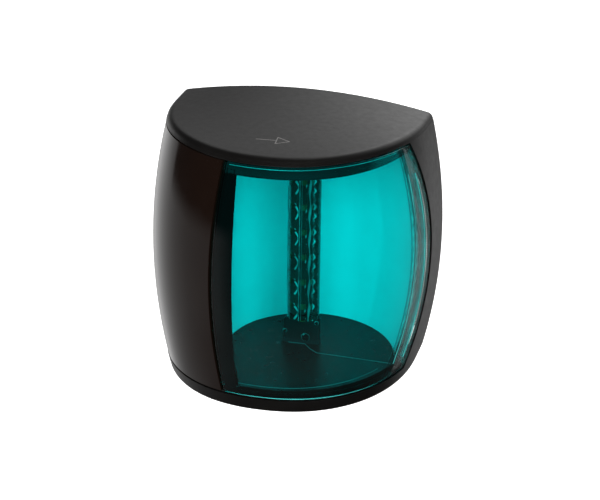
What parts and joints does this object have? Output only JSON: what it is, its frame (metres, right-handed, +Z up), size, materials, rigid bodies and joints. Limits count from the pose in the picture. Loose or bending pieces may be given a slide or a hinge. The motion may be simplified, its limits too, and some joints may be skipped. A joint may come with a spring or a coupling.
{
  "type": "navigation light",
  "caption": "Compact sealed surface-mount starboard navigation light with a barrel-shaped D-plan housing, green lens window, gloss side screen and a clear light column inside.",
  "frame": {"origin": "centre of the flat rear mounting face, at mid height", "axes": "+Z up, +Y out of the back towards the wall, +X to the right seen from in front"},
  "size_m": [0.082, 0.0578, 0.0781],
  "materials": {
    "housing_black": "fine-grained moulded nylon",
    "screen_gloss": "polished",
    "lens_green": "clear tinted",
    "seal_black": "matte",
    "reflector_white": "satin",
    "baffle_black": "semi-matte",
    "optic_clear": "clear",
    "board_green": "solder mask",
    "emitter_yellow": "phosphor",
    "spreader_alu": "extruded",
    "wire_sleeve": "smooth",
    "component_dark": "moulded",
    "ferrite": "ceramic",
    "capacitor_can": "sleeved",
    "screw_steel": "stainless",
    "insert_brass": "turned"
  },
  "bodies": {
    "root": {"housing_shell": "housing_black", "outer_lens": "lens_green", "side_screen": "screen_gloss", "top_seam_seal": "seal_black", "base_seam_seal": "seal_black", "reflector": "reflector_white", "side_shroud": "baffle_black", "ceiling_baffle": "baffle_black", "floor_baffle": "baffle_black", "light_column": "optic_clear", "column_foot": "baffle_black", "locating_pegs": "optic_clear", "led_board": "board_green", "led_emitters": "emitter_yellow", "heat_spreader": "spreader_alu", "led_leads": "wire_sleeve", "driver_board": "board_green", "power_inductor": "ferrite", "filter_capacitors": "capacitor_can", "driver_chips": "component_dark", "surge_suppressor": "component_dark", "board_pillars": "baffle_black", "board_screws": "screw_steel", "rear_plate": "housing_black", "rear_seal": "seal_black", "threaded_inserts": "insert_brass", "mounting_gasket": "seal_black", "cable_grommet": "seal_black"}
  },
  "joints": []
}
